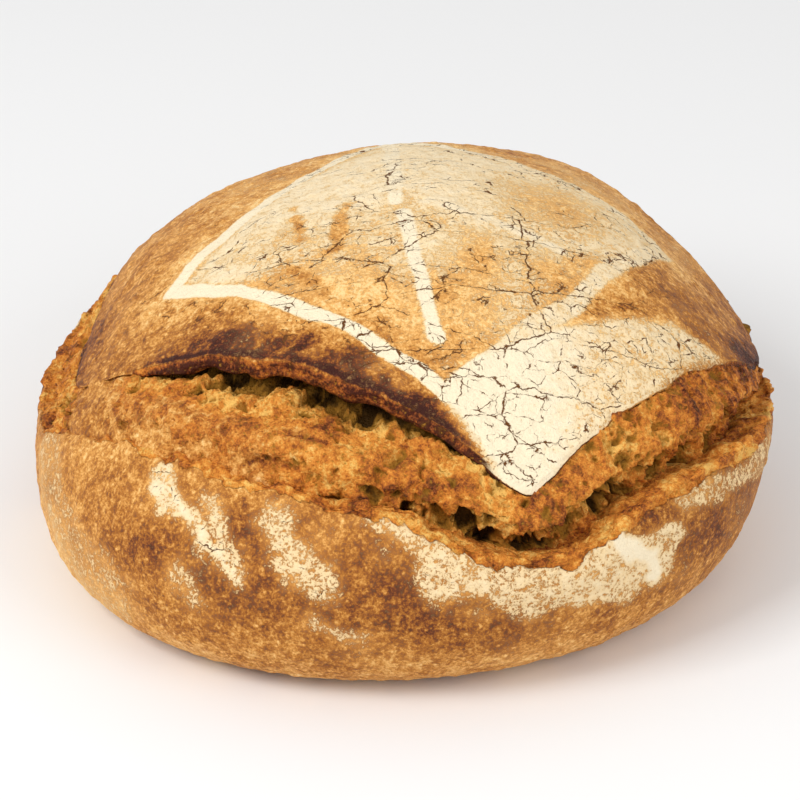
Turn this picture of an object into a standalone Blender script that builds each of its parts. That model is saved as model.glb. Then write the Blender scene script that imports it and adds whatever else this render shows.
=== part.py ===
"""A round sourdough loaf, torn open in the oven along four straight slashes.

The loaf is one solid: a lopsided dome on a flat base. Four slashes cut a lid into the dome. The
dough has pushed the lid up, so that its edge stands over a deep slot, with torn crumb below it
that swells out and then sinks into a pocket behind the lower lip. Metres, +Z up, front at -Y.
"""

import math

import bmesh
import bpy
import numpy as np
from mathutils import Vector, noise

MM = 0.001

# Overall size
WIDTH = 250 * MM
DEPTH = 278.6 * MM
HEIGHT = 120.9 * MM
WAIST = 38 * MM                 # height of the widest level above the table

# Shape of the body
DOME_POWER = 1.77               # superellipse power of the dome, where 2 is an ellipse
FOOT_POWER = 2.38               # the same for the turn from the waist down to the base
FOOT_SHARE = 0.75               # flat base's radius as a share of the body's
LEAN = 0.127                    # how far the dome leans to +X, per metre of height
LOBES = {3: (0.002, -0.021), 4: (-0.007, -0.005)}   # uneven plan: waves round it, cosine and sine shares
LUMP_SIZE, LUMP_HEIGHT = 42 * MM, 1.3 * MM

# Two hollows where the side sagged and a swelling above one of them.
# Each row is bearing, place u, how far it spreads in each, and depth.
HOLLOWS = (
    (174, 0.76, 20, 0.14, 2.2 * MM),
    (14, 0.60, 24, 0.16, 2.6 * MM),
    (151, 0.55, 18, 0.13, -2.2 * MM),
)

# The four slashes: the bearing that each one faces, in degrees from +X, and its distance from the middle
SLASHES = ((-117, 88.5 * MM), (-41, 104.5 * MM), (52, 99 * MM), (160, 112 * MM))
SLASH_CORNER = 50               # higher is sharper where two slashes meet
LID_REACH = 0.95                # the lid's furthest reach as a share of the body's radius
REACH_SWAY = 0.018              # how much further it reaches at +X than at the middle
REACH_CORNER = 14               # higher is sharper where a slash runs out into that reach

# The tear below the lid, at bearings round the loaf, in millimetres. Between them it runs smoothly.
# Each row is bearing: ear lift, ear thickness, slot depth, slot width, crumb swell, pocket depth,
# lip height above the table, lip rise.
TEAR = {
    -172: (-0.3, 2.0, 4.0, 3.0, -0.8, 3.0, 45.0, 0.5),
    -164: (-0.3, 1.2, 2.0, 2.5, 0.1, 1.5, 48.0, 0.3),
    -157: (0.0, 0.0, 0.0, 1.0, 0.0, 0.0, 56.0, 0.0),
    -150: (0.3, 1.5, 3.0, 4.5, 0.5, 0.0, 61.0, 0.0),
    -142: (1.2, 4.5, 7.0, 8.0, 1.5, 0.0, 66.0, 0.2),
    -118: (2.5, 7.5, 12.0, 12.5, 3.5, 1.5, 70.0, 0.5),
    -100: (2.3, 7.0, 11.0, 11.0, 3.0, 3.5, 68.5, 1.0),
    -87: (1.5, 3.5, 6.0, 6.0, 1.5, 7.0, 63.0, 1.2),
    -75: (0.9, 2.5, 2.5, 2.0, -0.3, 10.0, 51.0, 1.5),
    -50: (0.5, 1.3, 2.0, 1.8, -0.5, 9.0, 61.5, 2.2),
    -25: (0.5, 1.3, 2.2, 1.8, -0.5, 8.0, 57.0, 2.2),
    -5: (1.5, 3.0, 5.0, 3.5, -1.0, 7.0, 50.0, 2.0),
    35: (2.0, 4.5, 12.0, 8.0, 1.5, 6.0, 58.0, 1.5),
    70: (2.5, 5.0, 16.0, 10.0, 2.5, 6.0, 60.0, 1.5),
    100: (1.5, 3.5, 6.0, 4.0, 0.0, 7.0, 49.0, 1.5),
    130: (1.5, 4.5, 11.0, 7.0, 0.5, 6.0, 54.0, 1.5),
    158: (0.0, 3.5, 7.0, 4.5, -3.5, 5.0, 48.0, 1.2),
    174: (-0.5, 2.8, 5.0, 3.5, -2.0, 4.0, 45.0, 0.8),
}
COLUMNS = 8                     # numbers in each row
LIFT_LENGTH = 22 * MM           # how far back from its edge the lid starts to lift
EAR_SLOPE = 0.5 * MM            # how far the ear's cut face slopes out
EAR_BITE = 0.3                  # share of the ear's thickness that the slot runs on below it
SLOT_UNDERCUT = 0.45            # how far the slot runs back under the ear, as a share of its depth
SLOT_MOUTH = 0.5 * MM           # least depth at the slot's front edge
LIP_WALL = 5 * MM               # width of the pocket's bottom behind the lip
LIP_BEVEL = 1.2 * MM            # width of the lip's inner bevel
LIP_BAND = 8 * MM               # width of the lower lip's torn edge
LIP_FADE = 20 * MM              # length over which the lip runs out into the crust below it
ARC = 155 * MM                  # length along the dome from its top to the waist

# Mesh
AROUND = 96                     # columns round the loaf
BASE_RINGS = (0.3, 0.65)        # rings across the flat base, as shares of the way to its middle
SHARP_ANGLE = 40                # degrees, edges sharper than this are not smoothed
CRUST = ("sourdough crust", (0.47, 0.235, 0.085, 1.0), 0.72)   # name, colour, roughness


def body_radius(theta):
    """Radius of the widest level: an ellipse with a few uneven waves round it."""
    ellipse = 1 / np.hypot(np.cos(theta) / (WIDTH / 2), np.sin(theta) / (DEPTH / 2))
    waves = [c * np.cos(k * theta) + s * np.sin(k * theta) for k, (c, s) in LOBES.items()]
    return ellipse * (1 + sum(waves))


def side(u):
    """Radius share and height at u on the smooth side: 0 the top, 1 the waist, 2 the base's edge."""
    over = np.clip(u, 0, 1) * math.pi / 2
    under = np.clip(u - 1, 0, 1) * math.pi / 2
    dome = (np.sin(over) ** (2 / DOME_POWER), WAIST + (HEIGHT - WAIST) * np.cos(over) ** (2 / DOME_POWER))
    foot = (FOOT_SHARE + (1 - FOOT_SHARE) * np.cos(under) ** (2 / FOOT_POWER),
            WAIST * (1 - np.sin(under) ** (2 / FOOT_POWER)))
    return np.where(u <= 1, dome[0], foot[0]), np.where(u <= 1, dome[1], foot[1])


def sag(theta, u):
    """How far the side has sagged in at bearing theta and place u."""
    depth = 0
    for bearing, place, spread, reach, deepest in HOLLOWS:
        turn = np.angle(np.exp(1j * (theta - math.radians(bearing))), deg=True)
        depth = depth + deepest * np.exp(-(turn / spread) ** 2 - ((u - place) / reach) ** 2)
    return depth


def on_body(theta, u, out):
    """Points at bearing theta and place u, set out from the side by a distance."""
    out = out - sag(theta, u)
    step = 0.001
    radius = body_radius(theta)
    share, height = side(u)
    share_after, height_after = side(u + step)
    share_before, height_before = side(np.maximum(u - step, 0))
    along = np.stack([(share_after - share_before) * radius, height_after - height_before])
    along = along / (np.hypot(*along) + 1e-9)
    r = radius * share - out * along[1]
    z = height + out * along[0]
    return np.stack([r * np.cos(theta) + LEAN * z, r * np.sin(theta), z], axis=-1)


def lid_edge(theta):
    """Place u of the lid's edge: a polygon of four slashes with softened corners, kept above the waist."""
    lines = [np.maximum(np.cos(theta - math.radians(faces)), 0) / away for faces, away in SLASHES]
    cut = sum(line ** SLASH_CORNER for line in lines) ** (-1 / SLASH_CORNER)
    reach = LID_REACH + REACH_SWAY * np.cos(theta)
    share = ((cut / body_radius(theta)) ** -REACH_CORNER + reach ** -REACH_CORNER) ** (-1 / REACH_CORNER)
    return np.arcsin(share ** (DOME_POWER / 2)) * 2 / math.pi


def at_height(height):
    """Place u of a height on the dome."""
    return np.arccos(((height - WAIST) / (HEIGHT - WAIST)) ** (DOME_POWER / 2)) * 2 / math.pi


def tear(theta, column):
    """One column of TEAR at every bearing, in metres, on a smooth closed curve."""
    bearings = sorted(TEAR)
    values = [TEAR[b][column] * MM for b in bearings]
    turn = 2 * math.pi
    x = np.radians(bearings)
    x = np.concatenate([x - turn, x, x + turn])
    y = np.array(values * 3)
    slope = np.gradient(y, x)
    slope[(y == np.roll(y, 1)) | (y == np.roll(y, -1))] = 0
    i = np.clip(np.searchsorted(x, theta) - 1, 0, len(x) - 2)
    gap = x[i + 1] - x[i]
    t = (theta - x[i]) / gap
    start, end = (1 + 2 * t) * (1 - t) ** 2, t * t * (3 - 2 * t)
    rise_out, rise_in = slope[i] * t * (1 - t) ** 2, slope[i + 1] * t * t * (1 - t)
    return y[i] * start + y[i + 1] * end + gap * (rise_out - rise_in)


def stations(theta):
    """The section's corner points from the top of the loaf to its base.

    Each row is (place u, distance out from the smooth side, levels up to it, eased or straight).
    """
    lid = lid_edge(theta)
    lift, thick, depth, width, swell, pocket, lip_height, rise = (tear(theta, c) for c in range(COLUMNS))
    depth, pocket, thick = (np.maximum(v, 0) for v in (depth, pocket, thick))
    lip = at_height(lip_height)
    flat = np.zeros_like(theta)
    slot_end = lid + width / ARC
    below_ear = EAR_BITE * thick
    return [
        (lid - LIFT_LENGTH / ARC, flat, 9, False),
        (lid, lift, 3, True),
        (lid + EAR_SLOPE / ARC, lift - thick, 1, False),
        (lid - SLOT_UNDERCUT * depth / ARC, -0.85 * depth - below_ear, 2, True),
        (lid + 0.35 * width / ARC, -1.1 * depth - below_ear, 1, False),
        (slot_end, -0.15 * depth - SLOT_MOUTH, 2, True),
        (0.55 * slot_end + 0.45 * lip, swell, 3, True),
        (lip - LIP_WALL / ARC, -pocket, 3, True),
        (lip - LIP_BEVEL / ARC, -0.5 * pocket, 1, False),
        (lip, rise, 1, True),
        (lip + LIP_BAND / ARC, 0.8 * rise, 2, False),
        (lip + (LIP_BAND + LIP_FADE) / ARC, flat, 2, True),
        (flat + 2, flat, 9, False),
    ]


def section_grid(theta):
    """Points of every level, from just below the top to the base's edge, at every bearing."""
    u_from, out_from = np.zeros_like(theta), np.zeros_like(theta)
    levels = []
    for u_to, out_to, count, eased in stations(theta):
        for t in np.arange(1, count + 1) / count:
            bend = t * t * (3 - 2 * t) if eased else t
            u = u_from + (u_to - u_from) * t
            levels.append(on_body(theta, u, out_from + (out_to - out_from) * bend))
        u_from, out_from = u_to, out_to
    return levels


def lumpy(point):
    """Moves a point of the crust in or out a little, but not on the base or just over it."""
    if point.z < 1 * MM:
        return point
    outward = (point - Vector((0, 0, WAIST))).normalized()
    hold = min(point.z / WAIST, 1)
    return point + outward * noise.noise(point / LUMP_SIZE) * LUMP_HEIGHT * hold


def loaf_mesh():
    """A sphere's grid of levels and columns, moved onto the loaf's sections."""
    theta = np.linspace(-math.pi, math.pi, AROUND, endpoint=False)
    levels = section_grid(theta)
    foot = levels[-1]
    middle = foot.mean(axis=0)
    levels += [foot + (middle - foot) * share for share in BASE_RINGS]
    top = Vector((LEAN * HEIGHT, 0, HEIGHT))

    bm = bmesh.new()
    bands = len(levels) + 1
    bmesh.ops.create_uvsphere(bm, u_segments=AROUND, v_segments=bands, radius=1)
    for vert in bm.verts:
        level = round(math.acos(max(-1, min(1, vert.co.z))) / math.pi * bands)
        column = round((math.atan2(vert.co.y, vert.co.x) + math.pi) / (2 * math.pi) * AROUND) % AROUND
        if level == 0:
            vert.co = lumpy(top)
        elif level == bands:
            vert.co = Vector(middle)
        else:
            vert.co = lumpy(Vector(levels[level - 1][column]))
    centre_on_base(bm)
    mesh = bpy.data.meshes.new("loaf")
    bm.to_mesh(mesh)
    bm.free()
    return mesh


def centre_on_base(bm):
    """Slides the loaf so that the middle of its box is over the origin."""
    low = Vector(min(v.co[i] for v in bm.verts) for i in range(3))
    high = Vector(max(v.co[i] for v in bm.verts) for i in range(3))
    middle = (low + high) / 2
    bmesh.ops.translate(bm, verts=bm.verts, vec=(-middle.x, -middle.y, 0))


def crust_material():
    name, colour, roughness = CRUST
    material = bpy.data.materials.new(name)
    material.use_nodes = True
    shader = material.node_tree.nodes["Principled BSDF"]
    shader.inputs["Base Color"].default_value = colour
    shader.inputs["Roughness"].default_value = roughness
    shader.inputs["Metallic"].default_value = 0.0
    return material


def main():
    for old in list(bpy.data.objects):
        bpy.data.objects.remove(old)
    mesh = loaf_mesh()
    mesh.materials.append(crust_material())
    mesh.shade_smooth()
    mesh.set_sharp_from_angle(angle=math.radians(SHARP_ANGLE))
    collection = bpy.data.collections.new("sourdough_loaf")
    bpy.context.scene.collection.children.link(collection)
    collection.objects.link(bpy.data.objects.new("loaf", mesh))


main()
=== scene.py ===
"""A round sourdough loaf: floured lid, torn crumb and browned lower crust, on a pale table."""

import math

import bpy
import numpy as np
from mathutils import Matrix, Vector, noise


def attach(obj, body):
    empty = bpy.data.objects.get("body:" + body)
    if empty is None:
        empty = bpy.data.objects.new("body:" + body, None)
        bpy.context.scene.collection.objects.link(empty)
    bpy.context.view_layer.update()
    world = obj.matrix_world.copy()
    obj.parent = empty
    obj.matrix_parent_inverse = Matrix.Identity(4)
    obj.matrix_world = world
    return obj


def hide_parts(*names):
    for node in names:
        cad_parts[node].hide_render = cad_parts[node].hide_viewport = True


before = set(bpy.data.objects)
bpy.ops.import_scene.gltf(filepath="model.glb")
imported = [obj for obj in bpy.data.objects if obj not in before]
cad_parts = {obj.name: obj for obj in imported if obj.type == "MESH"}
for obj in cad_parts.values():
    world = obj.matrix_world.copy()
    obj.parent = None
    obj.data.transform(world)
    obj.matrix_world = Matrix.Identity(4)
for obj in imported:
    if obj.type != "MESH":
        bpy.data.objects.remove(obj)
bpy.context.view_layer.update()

# ---------------------------------------------------------------------------------------------
# The lid. The middle of the top crust of a wheat and rye dough, about 3 mm thick. Four slashes
# cut it free, and as the loaf rose on the hot stone the dough pushed it up and lifted its edge
# into a thin ear. The baker's stencil lies on it in flour.
# ---------------------------------------------------------------------------------------------
mm = 0.001

# The whole loaf, a lopsided dome over a rounded foot. A bearing goes round it, from +X. A place u goes
# down it: 0 at the top, 1 at the waist, 2 at the edge of the flat base.
body_width, body_depth, body_height = 250 * mm, 278.6 * mm, 120.9 * mm
waist = 38 * mm                  # height of the widest level above the table
dome_arc = 155 * mm              # length along the dome from its top to the waist
dome_power, foot_power = 1.77, 2.38
foot_share = 0.75                # flat base's radius as a share of the body's
lean = 0.127                     # how far the dome leans to +X, per metre of height
lobes = {3: (0.002, -0.021), 4: (-0.007, -0.005)}     # waves round it: shares of cosine and sine
lump_size, lump_height = 42 * mm, 1.3 * mm

# Two hollows where the side sagged, and a swelling: bearing, place, how far it spreads in each, depth
hollows = (
    (174, 0.76, 20, 0.14, 2.2 * mm),
    (14, 0.60, 24, 0.16, 2.6 * mm),
    (151, 0.55, 18, 0.13, -2.2 * mm),
)

# The four slashes: the bearing that each faces, in degrees, and its distance from the middle
slashes = ((-117, 88.5 * mm), (-41, 104.5 * mm), (52, 99 * mm), (160, 112 * mm))
slash_corner = 50                # how sharp the corners between slashes are
lid_reach, reach_sway = 0.95, 0.018     # the lid's furthest edge, as a share of the body's radius
reach_corner = 14                # how sharply a slash bends in to stay within it

# The tear below the lid, at bearings round the loaf: millimetres, and how torn the dough is, from 0 to 1
tear_columns = ("ear lift", "ear thickness", "slot depth", "slot width", "crumb swell",
                "pocket depth", "lip height", "lip rise", "torn")
tear_table = {
    -172: (-0.3, 2.0, 4.0, 3.0, -0.8, 3.0, 45.0, 0.5, 1.00),
    -164: (-0.3, 1.2, 2.0, 2.5, 0.1, 1.5, 48.0, 0.3, 0.90),
    -157: (0.0, 0.0, 0.0, 1.0, 0.0, 0.0, 56.0, 0.0, 0.00),
    -150: (0.3, 1.5, 3.0, 4.5, 0.5, 0.0, 61.0, 0.0, 0.40),
    -142: (1.2, 4.5, 7.0, 8.0, 1.5, 0.0, 66.0, 0.2, 0.85),
    -118: (2.5, 7.5, 12.0, 12.5, 3.5, 1.5, 70.0, 0.5, 1.00),
    -100: (2.3, 7.0, 11.0, 11.0, 3.0, 3.5, 68.5, 1.0, 1.00),
    -87: (1.5, 3.5, 6.0, 6.0, 1.5, 7.0, 63.0, 1.2, 1.00),
    -75: (0.9, 2.5, 2.5, 2.0, -0.3, 10.0, 51.0, 1.5, 1.00),
    -50: (0.5, 1.3, 2.0, 1.8, -0.5, 9.0, 61.5, 2.2, 1.00),
    -25: (0.5, 1.3, 2.2, 1.8, -0.5, 8.0, 57.0, 2.2, 1.00),
    -5: (1.5, 3.0, 5.0, 3.5, -1.0, 7.0, 50.0, 2.0, 1.00),
    35: (2.0, 4.5, 12.0, 8.0, 1.5, 6.0, 58.0, 1.5, 1.00),
    70: (2.5, 5.0, 16.0, 10.0, 2.5, 6.0, 60.0, 1.5, 1.00),
    100: (1.5, 3.5, 6.0, 4.0, 0.0, 7.0, 49.0, 1.5, 1.00),
    130: (1.5, 4.5, 11.0, 7.0, 0.5, 6.0, 54.0, 1.5, 1.00),
    158: (0.0, 3.5, 7.0, 4.5, -3.5, 5.0, 48.0, 1.2, 1.00),
    174: (-0.5, 2.8, 5.0, 3.5, -2.0, 4.0, 45.0, 0.8, 1.00),
}


def body_radius(bearing):
    ellipse = 1 / np.hypot(np.cos(bearing) / (body_width / 2), np.sin(bearing) / (body_depth / 2))
    waves = [c * np.cos(k * bearing) + s * np.sin(k * bearing) for k, (c, s) in lobes.items()]
    return ellipse * (1 + sum(waves))


def side(u):
    """Radius share and height of the smooth side at a place u."""
    over = np.clip(u, 0, 1) * math.pi / 2
    under = np.clip(u - 1, 0, 1) * math.pi / 2
    share = np.where(u <= 1, np.sin(over) ** (2 / dome_power),
                     foot_share + (1 - foot_share) * np.cos(under) ** (2 / foot_power))
    height = np.where(u <= 1, waist + (body_height - waist) * np.cos(over) ** (2 / dome_power),
                      waist * (1 - np.sin(under) ** (2 / foot_power)))
    return share, height


def sag(bearing, u):
    """How far the side has sagged in."""
    depth = 0
    for middle_bearing, place, spread, reach, deepest in hollows:
        turn = np.angle(np.exp(1j * (bearing - math.radians(middle_bearing))), deg=True)
        depth = depth + deepest * np.exp(-(turn / spread) ** 2 - ((u - place) / reach) ** 2)
    return depth


def on_body(bearing, u, out):
    """Points at a bearing and a place u, set out from the side by a distance."""
    bearing, u, out = np.broadcast_arrays(bearing, u, out - sag(bearing, u))
    step = 0.001
    radius = body_radius(bearing)
    share, height = side(u)
    share_after, height_after = side(u + step)
    share_before, height_before = side(np.maximum(u - step, 0))
    along = np.stack([(share_after - share_before) * radius, height_after - height_before])
    along = along / (np.hypot(*along) + 1e-9)
    r = radius * share - out * along[1]
    z = height + out * along[0]
    return np.stack([r * np.cos(bearing) + lean * z, r * np.sin(bearing), z], axis=-1)


def tear(bearing, column):
    """One column of the tear's table at every bearing, on a smooth closed curve."""
    places = sorted(tear_table)
    turn = 2 * math.pi
    x = np.radians(places)
    x = np.concatenate([x - turn, x, x + turn])
    y = np.array([tear_table[place][tear_columns.index(column)] for place in places] * 3)
    slope = np.gradient(y, x)
    slope[(y == np.roll(y, 1)) | (y == np.roll(y, -1))] = 0
    i = np.clip(np.searchsorted(x, bearing) - 1, 0, len(x) - 2)
    gap = x[i + 1] - x[i]
    t = (bearing - x[i]) / gap
    start, end = (1 + 2 * t) * (1 - t) ** 2, t * t * (3 - 2 * t)
    bend = slope[i] * t * (1 - t) ** 2 - slope[i + 1] * t * t * (1 - t)
    return y[i] * start + y[i + 1] * end + gap * bend


def hashed(cells, seed):
    """A number from 0 to 1 for each cell of a lattice, always the same for the same cell."""
    x, y, z = (cells[..., axis].astype(np.int64) for axis in range(3))
    stirred = (x * 73856093) ^ (y * 19349663) ^ (z * 83492791) ^ (seed * 97531)
    stirred = (stirred ^ (stirred >> 13)) * 1274126177
    return ((stirred ^ (stirred >> 16)) & 0xFFFFFF) / 0xFFFFFF


def wander(points, size, seed, octaves=1):
    """Smooth noise from -1 to 1 that changes over about the given size."""
    total, height = 0, 1
    for octave in range(octaves):
        p = points / size * 2 ** octave + seed * 17.3
        base = np.floor(p)
        t = p - base
        t = t * t * t * (t * (6 * t - 15) + 10)
        value = 0
        for corner in np.ndindex(2, 2, 2):
            share = np.prod(np.where(corner, t, 1 - t), axis=-1)
            value = value + share * hashed(base + corner, seed + octave)
        total = total + (2 * value - 1) * height
        height *= 0.5
    return total


def scattered(points, size, seed):
    """Distance to the nearest of scattered centres, in sizes, and a number from 0 to 1 of its own."""
    p = points / size
    base = np.floor(p)
    nearest = np.full(points.shape[:-1], 9.0)
    own = nearest * 0
    for step in np.ndindex(3, 3, 3):
        cell = base + step - 1
        centre = cell + np.stack([hashed(cell, seed + axis) for axis in range(3)], axis=-1)
        away = np.linalg.norm(p - centre, axis=-1)
        closer = away < nearest
        own = np.where(closer, hashed(cell, seed + 7), own)
        nearest = np.where(closer, away, nearest)
    return nearest, own


def eased(x, low, high):
    """0 below low, 1 above high, smooth between."""
    t = np.clip((x - low) / (high - low), 0, 1)
    return t * t * (3 - 2 * t)


def ring_points(bearing, radius, height=0.0):
    """Places on a ring or a tube, where noise that has to join up round the loaf is read."""
    bearing, height = np.broadcast_arrays(bearing, height)
    return np.stack([np.cos(bearing) * radius, np.sin(bearing) * radius, height], axis=-1)


def lid_edge(bearing):
    """Place u of the lid's edge: the polygon of the four slashes, a little ragged, kept above the waist."""
    lines = [np.maximum(np.cos(bearing - math.radians(b)), 0) / distance for b, distance in slashes]
    cut = sum(line ** slash_corner for line in lines) ** (-1 / slash_corner)
    reach = lid_reach + reach_sway * np.cos(bearing)
    share = ((cut / body_radius(bearing)) ** -reach_corner + reach ** -reach_corner) ** (-1 / reach_corner)
    smooth = np.arcsin(share ** (dome_power / 2)) * 2 / math.pi
    ring = ring_points(bearing, 110 * mm)
    ragged = 0.9 * wander(ring, 13 * mm, 3, 2) + 0.45 * wander(ring, 3.0 * mm, 5)
    return smooth + ragged * mm / dome_arc


def swollen(points):
    """The whole loaf's low uneven lumps, which leave the base flat."""
    flat = points.reshape(-1, 3)
    amount = np.array([noise.noise(Vector(p) / lump_size) for p in flat])
    outward = flat - (0, 0, waist)
    outward = outward / np.linalg.norm(outward, axis=1, keepdims=True)
    amount = amount * lump_height * np.clip(flat[:, 2] / waist, 0, 1) * (flat[:, 2] > 1 * mm)
    return (flat + outward * amount[:, None]).reshape(points.shape)


def facing(points):
    """Outward normal of each point of a grid of rows and columns that run round the loaf."""
    down = np.gradient(points, axis=0)
    across = np.roll(points, -1, axis=1) - np.roll(points, 1, axis=1)
    normal = np.cross(down, across)
    return normal / (np.linalg.norm(normal, axis=-1, keepdims=True) + 1e-12)


# The frame's origin is under the middle of the loaf's box, and the loaf is drawn about its dome
around = np.linspace(-math.pi, math.pi, 720, endpoint=False)
outline = swollen(on_body(around[None, :], np.linspace(0.3, 1.4, 90)[:, None], 0.0))
middle = (outline.reshape(-1, 3).min(axis=0) + outline.reshape(-1, 3).max(axis=0)) / 2
slide = Vector((-middle[0], -middle[1], 0))

# The finish of all three pieces. Each colour is given as it looks on a screen, from pale to dark.
crust_shades = ((0.0, (252, 212, 146)), (0.2, (240, 184, 108)), (0.4, (213, 149, 74)),
                (0.55, (184, 119, 50)), (0.7, (154, 92, 38)), (0.85, (112, 58, 34)),
                (1.0, (64, 30, 22)))
flour_shades = ((0.3, (240, 196, 132)), (0.6, (244, 214, 164)), (0.88, (250, 233, 200)))
crumb_shades = ((0.0, (250, 196, 104)), (0.25, (234, 154, 64)), (0.5, (208, 123, 47)),
                (0.75, (150, 80, 38)), (1.0, (76, 34, 22)))
veil_colour = (238, 180, 112)           # crust under a thin dust of flour
crack_colour = (108, 66, 30)            # crust at the bottom of a crack in the flour
hollow_shade_colour, hole_shade_colour = (166, 116, 40), (70, 46, 14)      # painted shade: crumb in a shallow and in a deep bubble, and in the slot


# The numbers that each mesh carries for it, from 0 to about 1. Besides browning, the first holds painted
# light: a paler foot and darker creases in the crumb. The last is painted shade in the crumb's holes and
# slot.
finish_numbers = ("bake_and_painted_light", "flour", "cracked", "torn", "pit_shade")


def srgb(red, green, blue):
    """A colour as it looks on a screen, in the shader's own linear numbers."""
    linear = [(v / 255 / 12.92) if v / 255 <= 0.04045 else ((v / 255 + 0.055) / 1.055) ** 2.4
              for v in (red, green, blue)]
    return (*linear, 1.0)


def bread_finish(name):
    """One finish for crust, flour and torn crumb, led by the numbers that each piece's mesh carries."""
    material = bpy.data.materials.new(name)
    material.use_nodes = True
    tree = material.node_tree
    shader = tree.nodes["Principled BSDF"]

    def add(kind, inputs=None, **settings):
        made = tree.nodes.new(kind)
        for key, value in settings.items():
            setattr(made, key, value)
        for key, value in (inputs or {}).items():
            if isinstance(value, bpy.types.NodeSocket):
                tree.links.new(value, made.inputs[key])
            else:
                made.inputs[key].default_value = value
        return made

    def sums(operation, a, b=0.0, c=0.0):
        return add("ShaderNodeMath", {0: a, 1: b, 2: c}, operation=operation).outputs[0]

    def around_half(value, gain, start):
        """start plus gain times how far the value is from a half."""
        return sums("MULTIPLY_ADD", value, gain, sums("SUBTRACT", start, 0.5 * gain))

    def between(value, low, high):
        made = add("ShaderNodeMapRange", {"Value": value, "From Min": low, "From Max": high},
                   interpolation_type="SMOOTHSTEP")
        return made.outputs["Result"]

    def number(look):
        return add("ShaderNodeAttribute", attribute_name=look).outputs["Fac"]

    def grain(size, detail, rough, output="Fac"):
        made = add("ShaderNodeTexNoise", {"Vector": place, "Scale": 1 / size, "Detail": detail,
                                          "Roughness": rough})
        return made.outputs[output]

    def shades(value, stops):
        made = add("ShaderNodeValToRGB", {"Fac": value})
        ramp = made.color_ramp
        while len(ramp.elements) < len(stops):
            ramp.elements.new(0.5)
        for element, (at, colour) in zip(ramp.elements, stops):
            element.position = at
            element.color = srgb(*colour)
        return made.outputs["Color"]

    def mixed(share, a, b):
        return add("ShaderNodeMix", {0: share, 6: a, 7: b}, data_type="RGBA").outputs[2]

    place = add("ShaderNodeTexCoord").outputs["Object"]
    bake_and_painted_light, flour, cracked, torn, pit_shade = (number(look) for look in finish_numbers)
    broad, middling, fine = grain(15 * mm, 2.0, 0.5), grain(3.6 * mm, 3.0, 0.65), grain(1.1 * mm, 3.0, 0.75)

    # Crust: how brown it looks, from straw to nearly black, with small paler blisters. Its paler foot is
    # painted light.
    dots = add("ShaderNodeTexVoronoi", {"Vector": place, "Scale": 1 / (2.3 * mm)}, feature="F1")
    blister = sums("MULTIPLY", between(dots.outputs["Distance"], 0.45, 0.1),
                   between(dots.outputs["Color"], 0.35, 0.5))
    brown = around_half(fine, 1.25, around_half(middling, 1.1, around_half(broad, 0.5, bake_and_painted_light)))
    brown = sums("MULTIPLY_ADD", blister, -0.2, brown)
    crust = shades(brown, crust_shades)

    # Flour: a veil of dust, and thicker flour that cracked into flakes as the crust stretched
    drift = grain(8 * mm, 4.0, 0.6, "Color")
    drift = add("ShaderNodeVectorMath", {0: drift, "Scale": 6 * mm}, operation="SCALE").outputs[0]
    bent = add("ShaderNodeVectorMath", {0: place, 1: drift}, operation="ADD").outputs[0]

    def cracks(cell, stretch, openness):
        """Thin cracks between flakes of a size, stretched in plan. They open and close as they go."""
        drawn = add("ShaderNodeVectorMath", {0: bent, 1: stretch}, operation="MULTIPLY").outputs[0]
        flakes = add("ShaderNodeTexVoronoi", {"Vector": drawn, "Scale": 1 / cell},
                     feature="DISTANCE_TO_EDGE")
        width = around_half(middling, 1.1, around_half(broad, 0.7, sums("MULTIPLY", cracked, 0.6)))
        half_open = sums("MINIMUM", sums("SUBTRACT", width, openness), 0.13)
        closed = sums("MULTIPLY", half_open, -1.0)
        away = sums("MULTIPLY_ADD", flakes.outputs["Distance"], cell / mm, closed)
        return between(away, 0.16, -0.04)

    crack = sums("MAXIMUM", cracks(9 * mm, (0.8, 1.2, 1.0), 0.56), cracks(21 * mm, (0.5, 1.25, 1.0), 0.46))
    crack = sums("MAXIMUM", crack, cracks(4.5 * mm, (1.1, 0.9, 1.0), 0.69))
    dusty = around_half(fine, 1.5, around_half(middling, 0.9, flour))
    thick_flour = sums("MULTIPLY", between(dusty, 0.42, 0.6), between(flour, 0.05, 0.3))
    veil = sums("MULTIPLY", between(dusty, 0.05, 0.9), 0.45)
    dusted = mixed(veil, crust, srgb(*veil_colour))
    floured = mixed(thick_flour, dusted, shades(around_half(middling, 0.5, flour), flour_shades))
    outside = mixed(crack, floured, srgb(*crack_colour))

    # Crumb: toasted ridges and paler walls. The dark in the holes, the pores, the slot and the creases is
    # painted shade.
    pores = add("ShaderNodeTexVoronoi", {"Vector": bent, "Scale": 1 / (1.7 * mm)}, feature="F1")
    toast_and_crease_shade = around_half(fine, 1.3, around_half(middling, 1.4, around_half(broad, 0.4, bake_and_painted_light)))
    pore_shade = sums("MULTIPLY", between(pores.outputs["Distance"], 0.36, 0.1), 0.3)
    sunk = sums("ADD", pit_shade, sums("MULTIPLY_ADD", middling, 0.8, -0.4))
    crumb = mixed(between(sums("ADD", pore_shade, sunk), 0.0, 0.5), shades(toast_and_crease_shade, crumb_shades),
                  srgb(*hollow_shade_colour))
    crumb = mixed(between(sunk, 0.5, 1.0), crumb, srgb(*hole_shade_colour))

    edge = between(around_half(middling, 0.7, torn), 0.32, 0.68)
    tree.links.new(mixed(edge, outside, crumb), shader.inputs["Base Color"])
    tree.links.new(sums("MULTIPLY_ADD", thick_flour, 0.35, 0.55), shader.inputs["Roughness"])
    shader.inputs["Specular IOR Level"].default_value = 0.12

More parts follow.
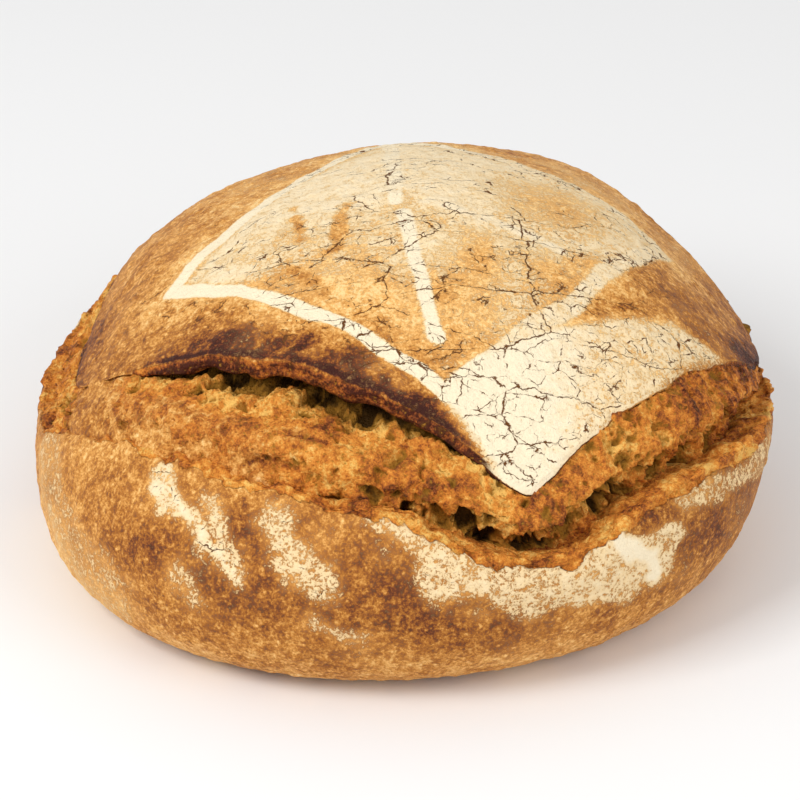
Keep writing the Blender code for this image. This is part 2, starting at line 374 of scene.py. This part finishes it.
    # Relief, in millimetres: grains, blisters and cracks on the crust, pores in the crumb
    skin = sums("MULTIPLY_ADD", thick_flour, 0.12, sums("MULTIPLY", middling, 0.9))
    skin = sums("MULTIPLY_ADD", blister, 0.16, skin)
    skin = sums("MULTIPLY_ADD", crack, -0.35, skin)
    skin = sums("MULTIPLY_ADD", fine, 0.8, skin)
    open_skin = sums("MULTIPLY_ADD", pores.outputs["Distance"], 0.8, sums("MULTIPLY", middling, 1.4))
    open_skin = sums("MULTIPLY_ADD", fine, 1.3, open_skin)
    height = add("ShaderNodeMix", {0: edge, 2: skin, 3: open_skin}, data_type="FLOAT").outputs[0]
    bump = add("ShaderNodeBump", {"Height": height, "Distance": mm, "Strength": 1.0})
    tree.links.new(bump.outputs["Normal"], shader.inputs["Normal"])
    return material


bread = bread_finish("baked_bread")


def crust_relief(points):
    """Height of the crust's fine relief, in metres: wrinkles, and small blisters here and there."""
    near, own = scattered(points, 4.6 * mm, 21)
    blisters = np.clip(1 - (near / 0.5) ** 2, 0, 1) * (own > 0.45) * 0.35
    return (blisters + 0.32 * wander(points, 6.5 * mm, 11, 3)) * mm


def browned_with_painted_foot_light(points):
    """How brown the bare crust looks: darker down the side, in large clouds, and paler again at the foot,
    which is painted light against the shade near the table.
    """
    height = points[..., 2] / mm
    # The second part is painted light: it lifts the foot out of the shade near the table
    low = eased(-height, -92, -48) - 1.1 * eased(-height, -42, -2)
    return 0.4 + 0.3 * low + 0.08 * wander(points, 20 * mm, 49, 3)


def quads_round(numbers):
    """Quads between rows of points that run right round the loaf, from the points' own numbers."""
    after = np.roll(numbers, -1, axis=1)
    quads = np.stack([numbers[:-1], numbers[1:], after[1:], after[:-1]], axis=-1)
    return quads.reshape(-1, 4).tolist()


def closing_fan(ring, centre, inward):
    """Triangles that close a ring of points to one hidden point in the dough."""
    after = np.roll(ring, -1)
    pair = (after, ring) if inward else (ring, after)
    return [(a, b, centre) for a, b in np.stack(pair, axis=-1).tolist()]


def bake_piece(name, skins, hidden, faces, looks):
    """Makes one piece of the loaf from its skins, the hidden points that close it, and their looks."""
    points = np.concatenate([skin.reshape(-1, 3) for skin in skins] + [np.array(hidden)])
    mesh = bpy.data.meshes.new(name)
    mesh.from_pydata((points + np.array(slide)).tolist(), [], faces)
    mesh.validate()
    for look in finish_numbers:
        shown = np.concatenate([np.ravel(of_skin) for of_skin in looks.get(look, [0.0])])
        values = np.zeros(len(points), dtype=np.float32)
        values[:len(shown)] = shown
        mesh.attributes.new(look, "FLOAT", "POINT").data.foreach_set("value", values)
    mesh.shade_smooth()
    mesh.materials.append(bread)
    piece = bpy.data.objects.new(name, mesh)
    bpy.context.scene.collection.objects.link(piece)
    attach(piece, "root")
    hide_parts("loaf")


# The lid's top: square rings of cells from its middle out, each side of a ring along one slash
lid_cells = 142                  # cells from the middle to the edge
edge_crowding = 0.92             # below 1, the cells are finer towards the edge
lift_length = 22 * mm            # how far back from its edge the lid starts to lift


def ray(sides, shares):
    """Bearing of points at a share of the way along each of the lid's four straight sides."""
    corners = []
    for index in range(4):
        (b0, d0), (b1, d1) = slashes[index - 1], slashes[index]
        lines = np.array([[math.cos(math.radians(b)), math.sin(math.radians(b))] for b in (b0, b1)])
        corners.append(np.linalg.solve(lines, (d0, d1)))
    corners = np.array(corners)
    start, end = corners[sides], corners[(sides + 1) % 4]
    point = start + (end - start) * shares[..., None]
    return np.arctan2(point[..., 1], point[..., 0])


n = lid_cells
across, along = np.meshgrid(np.arange(-n, n + 1), np.arange(-n, n + 1), indexing="ij")
ring = np.maximum(abs(across), abs(along))
sides = np.select([(along == -ring) & (across < ring), (across == ring) & (along < ring),
                   (along == ring) & (across > -ring)], [0, 1, 2], 3)
shares = np.choose(sides, [across + ring, along + ring, ring - across, ring - along])
bearing = ray(sides, shares / (2 * np.maximum(ring, 1)))
reach = (ring / n) ** edge_crowding
edge_u = lid_edge(bearing)
lifted = np.clip(1 - (1 - reach) * edge_u * dome_arc / lift_length, 0, 1) ** 2
lid_drawn = on_body(bearing, reach * edge_u, tear(bearing, "ear lift") * mm * lifted)
lid_drawn[ring == 0] = (lean * body_height, 0, body_height)
lid_top = swollen(lid_drawn)
upward = np.cross(np.gradient(lid_top, axis=0), np.gradient(lid_top, axis=1))
upward /= np.linalg.norm(upward, axis=-1, keepdims=True)
lid_top = lid_top + upward * crust_relief(lid_top)[..., None]

# The rim: the ear's cut face, and its underside as far back as the bottom of the slot
cut_face = ((0.7, -0.06), (1.5, -0.2), (2.3, -0.38),
            (2.9, -0.58), (2.8, -0.8), (1.2, -1.0))    # millimetres out, and share of the thickness down
underside = (0.35, 0.7, 1.0)                           # shares of the slot's depth
rim_noise_radius = 30 * mm
rim_bearing = ray(np.repeat(np.arange(4), 2 * n), np.tile(np.arange(2 * n) / (2 * n), 4))
rim_u, rim_lift = lid_edge(rim_bearing), tear(rim_bearing, "ear lift") * mm
rim_thick = np.maximum(tear(rim_bearing, "ear thickness"), 0.2) * mm
rim_depth = np.maximum(tear(rim_bearing, "slot depth"), 0.3) * mm
rim_open = np.clip(rim_thick / (2 * mm), 0.2, 1)
rim = [on_body(rim_bearing, rim_u + out * rim_open * mm / dome_arc, rim_lift + down * rim_thick)
       for out, down in cut_face]
for share in underside:
    inside = rim_u - (0.8 * mm + 0.45 * rim_depth * share) / dome_arc
    down = (rim_lift - rim_thick) * (1 - share) + (-0.85 * rim_depth - 0.3 * rim_thick) * share
    rim.append(on_body(rim_bearing, inside, down))
rim = swollen(np.array(rim))

# The rim is rough where the dough tore
edge_walk = ([(i, -n) for i in range(-n, n)] + [(n, i) for i in range(-n, n)]
             + [(i, n) for i in range(n, -n, -1)] + [(-n, i) for i in range(n, -n, -1)])
edge_numbers = np.array([(n + a) * (2 * n + 1) + n + b for a, b in edge_walk])
rim_face = facing(np.concatenate([lid_top.reshape(-1, 3)[edge_numbers][None], rim]))[1:]
rim_place = ring_points(rim_bearing, rim_noise_radius, np.linspace(0, 21 * mm, len(rim))[:, None])
rim_rough = 0.8 * wander(rim_place, 3.0 * mm, 31, 3) + 0.7 * wander(rim, 7 * mm, 33)
rim_hold = np.clip(rim_thick / (3 * mm), 0, 1)
rim = rim + rim_face * (rim_rough * rim_hold * mm)[..., None]

# The baker's flour, in plan, in millimetres from the dome's middle: a square frame with a bent side,
# spokes and how thick their flour is, a thick patch at the front corner, bare strokes and half widths
frame_corners = ((-71, -21), (19, -93), (61, -53), (95, 9), (3, 70))
spokes = (((6, -14), (16, -74), 0.92), ((14, -8), (58, -27), 0.78),
          ((4, -6), (2, 60), 0.85), ((2, -30), (-48, -20), 0.62))
patch = ((16, -93), (36, -74), (97, -40), (112, -40), (48, -128))
bare_strokes = (((-29, 2), (-27, -30), 0.8), ((-12, -4), (-17, -30), 1.8), ((-29, -36), (-18, -52), 1.2))
line_half = 2.9                  # half the width of a flour line
least_dust, dust_drift = 0.06, 0.2      # the little flour that lies all over the crust, and how it varies


def beside(plan, a, b):
    """Distance of points on a plan from a straight line between two others."""
    a, b = np.array(a, float), np.array(b, float)
    t = np.clip(((plan - a) @ (b - a)) / ((b - a) @ (b - a)), 0, 1)
    return np.linalg.norm(plan - a - t[..., None] * (b - a), axis=-1)


def within(plan, corners):
    """Distance inside a shape with straight sides, below 0 outside it."""
    inside = 0
    nearest = np.full(plan.shape[:-1], 1e9)
    for a, b in zip(corners, corners[1:] + corners[:1]):
        nearest = np.minimum(nearest, beside(plan, a, b))
        crosses = (a[1] > plan[..., 1]) != (b[1] > plan[..., 1])
        at = a[0] + (b[0] - a[0]) * (plan[..., 1] - a[1]) / (b[1] - a[1] + 1e-9)
        inside = inside + (crosses & (plan[..., 0] < at))
    return np.where(inside % 2 == 1, nearest, -nearest)


def spot(plan, middle, spread):
    """1 at a place on a plan, fading to 0 round it."""
    away = (plan - middle) / spread
    return np.exp(-away[..., 0] ** 2 - away[..., 1] ** 2)


def lid_looks(points, from_edge, open_here):
    """Flour, browning and cracks of the lid; from_edge is in millimetres, open_here is how far it tore."""
    shaken = np.stack([wander(points, 12 * mm, 41), wander(points, 12 * mm, 43)], axis=-1)
    plan = points[..., :2] / mm + 1.2 * shaken
    x, y = plan[..., 0], plan[..., 1]
    in_frame = within(plan, frame_corners)
    at_front, toward_back = eased(-y, -20, 40), eased(y, -75, 25)

    # The stencil: its frame is worn at the right
    worn = eased(x, 22, 45)
    on_frame = eased(-np.abs(in_frame), -line_half - 0.7 - 2 * worn, -line_half + 0.7)
    stencil = (0.92 - 0.2 * worn) * on_frame
    for a, b, thickness in spokes:
        on_spoke = eased(-beside(plan, a, b), -line_half - 0.9, -line_half + 0.9)
        stencil = np.maximum(stencil, thickness * on_spoke)

    # Dust: thicker to the back and the sides, swept thin in one place, rubbed off in strokes
    from_stroke = np.full(plan.shape[:-1], 99.0)
    for a, b, half_width in bare_strokes:
        from_stroke = np.minimum(from_stroke, beside(plan, a, b) - half_width)
    bare = eased(2.0 * wander(points, 5 * mm, 51, 2) - from_stroke, -1.5, 1.5)
    dust = 0.3 + 0.6 * toward_back + 0.17 * eased(x, 10, 50) + 0.14 * eased(-x, 5, 35)
    dust = eased(in_frame, -4, 8) * (dust + 0.28 * wander(points, 24 * mm, 45, 3))
    dust = np.minimum(dust, 0.74) - 0.36 * spot(plan, (57, 2), (19, 21))
    corner = eased(within(plan, patch), -4, 3) * (0.95 - 0.3 * eased(x, 40, 75))
    outer = least_dust + dust_drift * wander(points, 20 * mm, 47, 3) + 0.25 * eased(y, 0, 60)
    flour = np.maximum(np.maximum(stencil, dust) * (1 - 0.6 * bare), np.maximum(corner, outer))

    # Browning: scorched blotches along the front edge, and a plum patch at the right
    scorched = eased(-from_edge, -26, -6) * np.clip(0.5 * wander(points, 9 * mm, 53, 3), -0.05, 0.3)
    edge_dark = scorched + 0.26 * eased(-from_edge, -16, -2)
    edge_dark = edge_dark + 0.35 * eased(-from_edge, -2.5, -0.3) * (1 - corner)
    plum = spot(plan, (98, -20), (20, 26))
    bake_and_painted_light = browned_with_painted_foot_light(points) + edge_dark * open_here * at_front - 0.08 * toward_back
    bake_and_painted_light = bake_and_painted_light - 0.09 + 0.2 * eased(-in_frame, -2, 20)
    bake_and_painted_light = bake_and_painted_light + 0.22 * plum * (1 - corner) + 0.12 * bare - 0.25 * corner

    # Cracks: where the flour is thick, and outside the frame towards the front
    cracked = 0.87 * eased(in_frame, -4, 8) * (1 - 0.2 * toward_back)
    cracked = np.maximum(cracked, 0.85 * eased(corner, 0.1, 0.6))
    cracked = np.maximum(cracked, 0.95 * eased(stencil, 0.1, 0.6) * eased(x, -58, -28))
    outside = 0.45 + 0.3 * at_front * eased(in_frame, -26, -8)
    cracked = np.maximum(cracked, outside * eased(-in_frame, 0, 5))
    cracked = cracked - 0.3 * stencil * eased(-x, 50, 66)
    return flour, bake_and_painted_light, cracked


from_edge = (1 - reach) * edge_u * dome_arc / mm
lid_open = eased(tear(bearing, "ear thickness"), 0.8, 3.5)
lid_flour, lid_bake, lid_cracked = lid_looks(lid_drawn, from_edge, lid_open)

# The rim is torn crumb, but flour hangs over the top of the thin parts of its cut face
rim_torn = np.repeat(eased(rim_thick / mm, 0.6, 2.0)[None], len(rim), axis=0)
rim_torn[0] *= 0.5
rim_bake = browned_with_painted_foot_light(rim) + (0.5 + 0.3 * wander(rim_place, 4 * mm, 35, 2)) * rim_torn * rim_hold ** 0.7
floured_rows = 3
rim_flour = np.zeros(rim.shape[:2])
rim_flour[:floured_rows] = lid_flour.ravel()[edge_numbers] * eased(-rim_thick / mm, -5, -3)
rim_torn[:floured_rows] *= 1 - rim_flour[:floured_rows]

lid_numbers = np.arange(lid_flour.size).reshape(lid_flour.shape)
rim_numbers = lid_flour.size + np.arange(rim_flour.size).reshape(rim_flour.shape)
lid_quads = np.stack([lid_numbers[:-1, :-1], lid_numbers[1:, :-1], lid_numbers[1:, 1:],
                      lid_numbers[:-1, 1:]], axis=-1)
lid_faces = lid_quads.reshape(-1, 4).tolist()
lid_faces += quads_round(np.concatenate([edge_numbers[None], rim_numbers]))
lid_faces += closing_fan(rim_numbers[-1], lid_flour.size + rim_flour.size, inward=True)
bake_piece("lid_crust", [lid_top, rim], [(lean * 90 * mm, 0, 85 * mm)], lid_faces,
           {"flour": [lid_flour, rim_flour], "bake_and_painted_light": [lid_bake, rim_bake], "cracked": [lid_cracked],
            "torn": [0 * lid_bake, rim_torn]})

# ---------------------------------------------------------------------------------------------
# The torn crumb. Where the lid pulled away the inside of the dough shows: stretched and toasted,
# full of open bubbles, swelling out below the slot and sinking behind the lower lip.
# ---------------------------------------------------------------------------------------------
crumb_columns, crumb_rows = 1180, 78

# Bubbles torn open: cell size, seed, radius in cells, depth in millimetres, and how much painted shade
# darkens them inside
bubbles = (
    (11.5 * mm, 71, 0.78, 6.5, 1.1),
    (6.5 * mm, 73, 0.62, 3.2, 0.8),
    (3.2 * mm, 75, 0.60, 1.5, 0.5),
    (1.9 * mm, 76, 0.60, 0.6, 0.35),
)

# Creases in the baked skin of the swell at the front left: bearing and place u of each end
creases = ((-118, 0.675, -114, 0.657), (-114, 0.657, -109, 0.664), (-112, 0.609, -105, 0.612),
           (-134, 0.74, -127, 0.762), (-101, 0.71, -96, 0.70))
crease_half, crease_depth = 0.8, 0.9    # in millimetres
crumb_per_degree = 2.1                  # millimetres round the crumb for each degree


def at_height(height):
    """Place u of the dome at a height above the table."""
    return np.arccos(((height - waist) / (body_height - waist)) ** (dome_power / 2)) * 2 / math.pi


def lip_edge(bearing):
    """Place u of the ragged edge of the lower lip."""
    ring = ring_points(bearing, 120 * mm)
    ragged = 1.6 * wander(ring, 17 * mm, 61, 2) + 0.7 * wander(ring, 4 * mm, 63)
    return at_height(tear(bearing, "lip height") * mm) + ragged * mm / dome_arc


def torn_at(bearing, u):
    """How torn the dough is, from 0 to 1. The bridge of whole crust at the left corner runs down aslant."""
    return np.clip(tear(bearing - math.radians(60) * (u - 0.74), "torn"), 0, 1)


def section(stations, levels):
    """Rows of points through stations of place u, distance out and share of rows, smoothed at each."""
    u = np.array([station[0] for station in stations])
    out = np.array([station[1] for station in stations])
    at = np.cumsum([0] + [station[2] for station in stations[1:]])
    rows = np.linspace(0, at[-1], levels)
    place = np.clip(np.searchsorted(at, rows, side="right") - 1, 0, len(at) - 2)
    t = ((rows - at[place]) / (at[place + 1] - at[place]))[:, None]
    bend = t * t * (3 - 2 * t)
    return u[place] + (u[place + 1] - u[place]) * t, out[place] + (out[place + 1] - out[place]) * bend


# The crumb's smooth shape: from behind the lid, down the back of the slot, over the swell, behind the lip
bearing = np.linspace(-math.pi, math.pi, crumb_columns, endpoint=False)
thick = np.maximum(tear(bearing, "ear thickness"), 0) * mm
depth = np.maximum(tear(bearing, "slot depth"), 0) * mm
width = tear(bearing, "slot width") * mm
swell = tear(bearing, "crumb swell") * mm
pocket = np.maximum(tear(bearing, "pocket depth"), 0) * mm
ear_u, lip_u = lid_edge(bearing), lip_edge(bearing)
slot_end = ear_u + width / dome_arc
open_here = np.clip(thick / (1.5 * mm), 0, 1)
back = ear_u - (0.45 * depth + 1.5 * mm) / dome_arc
behind = -0.85 * depth - 0.3 * thick - 0.15 * mm
crumb_stations = [
    (back, behind + 0.25 * depth, 0),
    (back + 0.5 * mm / dome_arc, behind - 0.1 * depth - 0.3 * mm * open_here, 2),
    (ear_u + 0.2 * width / dome_arc, -depth - 0.3 * thick - 0.3 * mm * open_here, 5),
    (slot_end, -0.1 * depth - 0.3 * mm * open_here, 22),
    (0.55 * slot_end + 0.45 * lip_u, swell, 21),
    (lip_u - 5 * mm / dome_arc, -pocket, 22),
    (lip_u + 1 * mm / dome_arc, -pocket - 2 * mm, 5),
]
crumb_u, crumb_out = section(crumb_stations, crumb_rows)
crumb_grid = swollen(on_body(bearing[None, :], crumb_u, crumb_out))
outward = facing(crumb_grid)
torn_here = torn_at(bearing[None, :], crumb_u)

# Where the bubbles crowd: under the ear, at the left and behind the lip. They are few in the baked skin.
down_band = np.clip((crumb_u - slot_end) / (lip_u - slot_end), -1, 1)      # 0 at the slot, 1 at the lip
under_ear = eased(-down_band, -0.12, 0.02) * np.clip(depth / (7 * mm), 0.15, 1)
by_lip = eased(down_band, 0.42, 0.75) * np.clip(pocket / (6 * mm), 0.25, 1)
skinned = np.exp(-((np.degrees(bearing) + 128) / 24) ** 4)[None, :] * eased(down_band, 0.08, 0.3)
at_left = np.exp(-(np.angle(np.exp(1j * (bearing + math.pi)), deg=True) / 22) ** 2)
crowded = np.clip(0.14 + 0.8 * by_lip + 0.3 * under_ear + 0.35 * at_left - 0.12 * skinned, 0, 1)

# How many bubbles of each size burst, and where each size shows
bursting = (0.9 * crowded * (1 - 0.7 * skinned), crowded * (1 - 0.5 * skinned),
            0.15 + 0.7 * crowded, 0.35 + 0.4 * crowded)
showing = (eased(down_band, 0.1, 0.35), 1, 1, 1 - 0.7 * skinned)
bend = np.stack([wander(crumb_grid, 6 * mm, seed, 2) for seed in (65, 66, 67)], axis=-1)
bent_grid = crumb_grid + 1.6 * mm * bend
hole_relief, hole_shade = 0, 0
# Each torn bubble sinks in and is darkened inside with painted shade
for (size, seed, radius, deep, inner_shade), share, shown in zip(bubbles, bursting, showing):
    near, own = scattered(bent_grid, size, seed)
    bubble_radius = radius * (0.5 + 0.5 * np.modf(own * 7.3)[0])
    hole = np.sqrt(np.clip(1 - (near / bubble_radius) ** 2, 0, 1)) * (own < share) * shown
    hole_relief = hole_relief - deep * hole
    hole_shade = hole_shade + inner_shade * hole

# The crumb between them: ridges, fibres that run up the slope, and creases in the skin
ridges = 1 - 2 * np.abs(wander(bent_grid * (1, 1, 0.5), 4.5 * mm, 77, 3))
up_slope = ring_points(bearing, 115 * mm, 0.35 * dome_arc * crumb_u) + 0.8 * (bent_grid - crumb_grid)
fibres = wander(up_slope, 2.3 * mm, 86, 2) * (1 - 0.6 * skinned)
crumb_relief = (hole_relief + (0.4 + 0.6 * crowded) * ridges * (1 - 0.75 * skinned)
                + 0.65 * fibres + 1.3 * wander(crumb_grid, 15 * mm, 79, 2))
round_loaf = np.degrees(bearing) * crumb_per_degree + 0 * crumb_u
unrolled = np.stack([round_loaf, crumb_u * dome_arc / mm], axis=-1)
crease = np.zeros(crumb_u.shape)
for b0, u0, b1, u1 in creases:
    ends = [(b * crumb_per_degree, u * dome_arc / mm) for b, u in ((b0, u0), (b1, u1))]
    crease = np.maximum(crease, np.exp(-(beside(unrolled, *ends) / crease_half) ** 2))
crust_part = crust_relief(crumb_grid)
relief = crust_part + ((crumb_relief - crease_depth * crease) * mm - crust_part) * torn_here
crumb_points = crumb_grid + outward * relief[..., None]

# Strands of dough, stretched up the front of the slot as the lid rose
webs = 1 - 2 * np.abs(wander(up_slope, 5 * mm, 85, 3))
stretched = eased(slot_end - crumb_u, -4 * mm / dome_arc, 3 * mm / dome_arc)
stretched = stretched * np.clip(depth / (7 * mm), 0, 1)
into_slot = np.clip((slot_end - crumb_u) * dome_arc / np.maximum(width, 4 * mm), 0, 1)
bridges = eased(wander(up_slope, 13 * mm, 87, 2), 0.3, 0.6) * 4 * into_slot * (1 - into_slot)
crumb_points = crumb_points + outward * (0.6 * mm * webs * stretched + 0.35 * depth * bridges)[..., None]

# Toasted on the ridges. The holes, the slot and the creases are darkened with painted shade. The baked skin
# is an even brown.
skin_bake, skin_share = 0.46, 0.8
# Painted shade in the slot, lighter on the webs and bridges of dough that stand up in it
slot_shade = into_slot * (0.95 - 0.4 * webs - 0.5 * bridges) * eased(depth / mm, 0.5, 4)
crumb_pit_shade = np.clip(np.maximum(hole_shade - 0.25 * ridges - 0.1, slot_shade), 0, 1)
crumb_bake_and_crease_shade = (0.45 + 0.24 * wander(crumb_grid, 13 * mm, 81, 3) + 0.1 * np.cos(bearing - 0.5)[None, :]
              + 0.1 * ridges + 0.15 * fibres - 0.1 * by_lip - 0.2 * stretched)
skin_browning = skin_bake + 0.12 * wander(crumb_grid, 11 * mm, 81, 2)
crumb_bake_and_crease_shade = crumb_bake_and_crease_shade + (skin_browning - crumb_bake_and_crease_shade) * skin_share * skinned
# Where the crust is whole it browns like the crust; the creases get painted shade
crumb_bake_and_crease_shade = crumb_bake_and_crease_shade + (browned_with_painted_foot_light(crumb_grid) - crumb_bake_and_crease_shade) * (1 - torn_here) + 0.4 * crease
crumb_torn = torn_here * (1 - 0.5 * skinned) + 0.2 * skinned * wander(crumb_grid, 9 * mm, 83, 3)
crumb_flour = least_dust + dust_drift * wander(crumb_grid, 20 * mm, 47, 3) * (1 - torn_here)
crumb_cracked = 0.3 * (1 - torn_here)

crumb_numbers = np.arange(crumb_u.size).reshape(crumb_u.shape)
crumb_faces = quads_round(crumb_numbers)
crumb_faces += closing_fan(crumb_numbers[0], crumb_u.size, inward=False)
crumb_faces += closing_fan(crumb_numbers[-1], crumb_u.size + 1, inward=True)
bake_piece("torn_crumb", [crumb_points], [(lean * 60 * mm, 0, 65 * mm), (lean * 50 * mm, 0, 30 * mm)],
           crumb_faces, {"flour": [crumb_flour], "bake_and_painted_light": [crumb_bake_and_crease_shade], "cracked": [crumb_cracked],
                         "torn": [crumb_torn], "pit_shade": [crumb_pit_shade * torn_here]})

# ---------------------------------------------------------------------------------------------
# The lower crust. Everything below the tear: a torn orange lip, the browned and blistered side
# with flour from the proving basket, and the flat base that lay on the stone.
# ---------------------------------------------------------------------------------------------
lower_columns, lower_rows, base_rings = 860, 106, 9
lip_band, lip_fade = 8 * mm, 20 * mm    # how far down the lip stands out, and how far it takes to die out

# The basket's flour: bearing and height in millimetres of each streak's ends, half its width, thickness
streaks = (
    (-130, 64, -113, 46, 3.8, 0.72),
    (-120, 62, -113, 47, 4.5, 0.60),
    (-109, 62, -101, 47, 7.0, 0.57),
    (-96, 66, -84, 56, 5.5, 0.58),
    (-84, 52, -54, 40, 12.5, 0.60),
    (-60, 54, -53, 33, 4.5, 0.95),
    (-101, 33, -95, 28, 4.0, 0.50),
    (-122, 42, -119, 36, 4.0, 0.50),
    (-160, 45, -135, 22, 14.0, 0.42),
    (-48, 58, -20, 46, 6.0, 0.50),
    (22, 56, 62, 40, 11.0, 0.56),
    (95, 52, 122, 40, 10.0, 0.62),
    (140, 50, 166, 36, 8.0, 0.54),
)
side_per_degree = 2.2                   # millimetres round the side for each degree

# The lip and the side: from under the crumb's lower edge, over the lip and down to the base's edge
bearing = np.linspace(-math.pi, math.pi, lower_columns, endpoint=False)
pocket = np.maximum(tear(bearing, "pocket depth"), 0) * mm
rise = tear(bearing, "lip rise") * mm
lip_u = lip_edge(bearing)
level = 0 * bearing
lower_stations = [
    (lip_u - 4 * mm / dome_arc, -pocket - 2.5 * mm, 0),
    (lip_u - 1.4 * mm / dome_arc, -0.5 * pocket - 0.4 * mm, 5),
    (lip_u - 0.2 * mm / dome_arc, rise - 0.3 * mm, 5),
    (lip_u + 1 * mm / dome_arc, rise, 2),
    (lip_u + lip_band / dome_arc, 0.8 * rise, 9),
    (lip_u + (lip_band + lip_fade) / dome_arc, level, 18),
    (level + 2, level, 66),
]
lower_u, lower_out = section(lower_stations, lower_rows)
lower_grid = swollen(on_body(bearing[None, :], lower_u, lower_out))

# A band of torn crumb along the lip's top, rough and ragged, and the crust's own relief below it
from_lip = (lower_u - lip_u) * dome_arc / mm
ragged = 1 + wander(ring_points(bearing, 120 * mm), 9 * mm, 99, 3)
band = 0.45 * lip_band / mm * np.clip(pocket / (8 * mm), 0, 1) * ragged
lip_torn = eased(band - from_lip + wander(lower_grid, 3 * mm, 90, 2), -0.5, 0.5) * torn_at(bearing, lower_u)
along_lip = ring_points(bearing, 30 * mm, dome_arc * lower_u)
rough = (1.2 * wander(lower_grid, 3 * mm, 91, 3) + 0.9 * wander(lower_grid, 8 * mm, 93)
         + 1.1 * wander(along_lip, 2 * mm, 94, 2)) * mm
crust_part = crust_relief(lower_grid)
over_base = eased(lower_grid[..., 2], 0, 6 * mm)
relief = (crust_part + (rough - crust_part) * lip_torn) * over_base
lower_skin = lower_grid + facing(lower_grid) * relief[..., None]

# The flat base: rings from the foot in to its middle
foot = lower_skin[-1]
foot_middle = foot.mean(axis=0)
base = [foot + (foot_middle - foot) * share for share in np.linspace(0.1, 0.9, base_rings)]
lower_points = np.concatenate([lower_skin, base])
lower_torn = np.pad(lip_torn, ((0, base_rings), (0, 0)))
height = lower_points[..., 2] / mm

# Flour from the basket, in streaks, cracked where it is thick at the front left
shaken = np.stack([wander(lower_points, 14 * mm, seed, 3) for seed in (101, 103)], axis=-1)
unrolled = np.stack([np.degrees(bearing) * side_per_degree + 0 * height, height], axis=-1) + 4 * shaken
lower_flour = least_dust + dust_drift * wander(lower_points, 20 * mm, 47, 3)
for b0, h0, b1, h1, half_width, thickness in streaks:
    away = beside(unrolled, (b0 * side_per_degree, h0), (b1 * side_per_degree, h1))
    lower_flour = np.maximum(lower_flour, thickness * eased(half_width - away, -4, 4))
at_front_left = eased(-bearing, math.radians(80), math.radians(95))
lower_cracked = 0.28 + 0.5 * eased(lower_flour, 0.4, 0.7) * at_front_left

# Browned side, paler at the left and, as painted light, at the foot, under an orange lip
lower_bake_and_foot_light = browned_with_painted_foot_light(lower_points) - 0.22 * np.exp(-((np.degrees(bearing) + 165) / 30) ** 2)
lip_bake = 0.48 - 0.1 * np.clip(pocket / (6 * mm), 0, 1) + 0.3 * wander(lower_points, 7 * mm, 107, 2)
lower_bake_and_foot_light = lower_bake_and_foot_light + (lip_bake - lower_bake_and_foot_light) * lower_torn

lower_numbers = np.arange(height.size).reshape(height.shape)
lower_faces = quads_round(lower_numbers)
lower_faces += closing_fan(lower_numbers[0], height.size, inward=False)
lower_faces += closing_fan(lower_numbers[-1], height.size + 1, inward=True)
bake_piece("lower_crust", [lower_points], [(lean * 20 * mm, 0, 20 * mm), foot_middle], lower_faces,
           {"flour": [lower_flour], "bake_and_painted_light": [lower_bake_and_foot_light], "cracked": [lower_cracked], "torn": [lower_torn]})

# ---------------------------------------------------------------------------------------------
# The table, the light and the camera. A plain pale matt surface, white light from all round, and
# two large soft lamps.
# ---------------------------------------------------------------------------------------------
table_half = 6
table_finish = bpy.data.materials.new("pale_table")
table_finish.use_nodes = True
table_finish.node_tree.nodes["Principled BSDF"].inputs["Base Color"].default_value = (0.86, 0.86, 0.86, 1)
table_finish.node_tree.nodes["Principled BSDF"].inputs["Roughness"].default_value = 0.9
table_mesh = bpy.data.meshes.new("table")
table_corners = [(x * table_half, y * table_half, 0) for x, y in ((-1, -1), (1, -1), (1, 1), (-1, 1))]
table_mesh.from_pydata(table_corners, [], [(0, 1, 2, 3)])
table_mesh.materials.append(table_finish)
table = bpy.data.objects.new("table", table_mesh)
bpy.context.scene.collection.objects.link(table)

room = bpy.data.worlds.new("room")
room.use_nodes = True
room.node_tree.nodes["Background"].inputs["Color"].default_value = (1, 1, 1, 1)
room.node_tree.nodes["Background"].inputs["Strength"].default_value = 0.7
bpy.context.scene.world = room
bpy.context.scene.view_settings.view_transform = "Standard"

aim = Vector((0, 0, 50 * mm)) + slide


def lamp(name, place, size, power):
    """A square soft lamp that points at the loaf."""
    light = bpy.data.lights.new(name, "AREA")
    light.size = size
    light.energy = power
    hung = bpy.data.objects.new(name, light)
    hung.location = place
    hung.rotation_euler = (aim - Vector(place)).to_track_quat("-Z", "Y").to_euler()
    bpy.context.scene.collection.objects.link(hung)


lamp("window", (-0.9, -0.7, 1.1), 0.7, 13)
lamp("fill", (1.0, -0.9, 0.8), 0.9, 6)

# The camera looks from the front and above, and aims a little to the right of and below the middle
tilt, roll, distance = math.radians(28.02), math.radians(-0.46), 1.298
forward = Vector((0, math.cos(tilt), -math.sin(tilt)))
right = Vector((1, 0, 0))
up = right.cross(forward)
eye = aim - forward * distance
target = aim + right * 5.1 * mm - up * 7.6 * mm
look = (target - eye).normalized()
sideways = look.cross(up)
lens = bpy.data.cameras.new("camera")
lens.sensor_width = 36
lens.lens = 170
camera = bpy.data.objects.new("camera", lens)
turned = Matrix((sideways.normalized(), sideways.cross(look).normalized(), -look)).transposed().to_4x4()
camera.matrix_world = Matrix.Translation(eye) @ turned @ Matrix.Rotation(roll, 4, "Z")
bpy.context.scene.collection.objects.link(camera)
bpy.context.scene.camera = camera
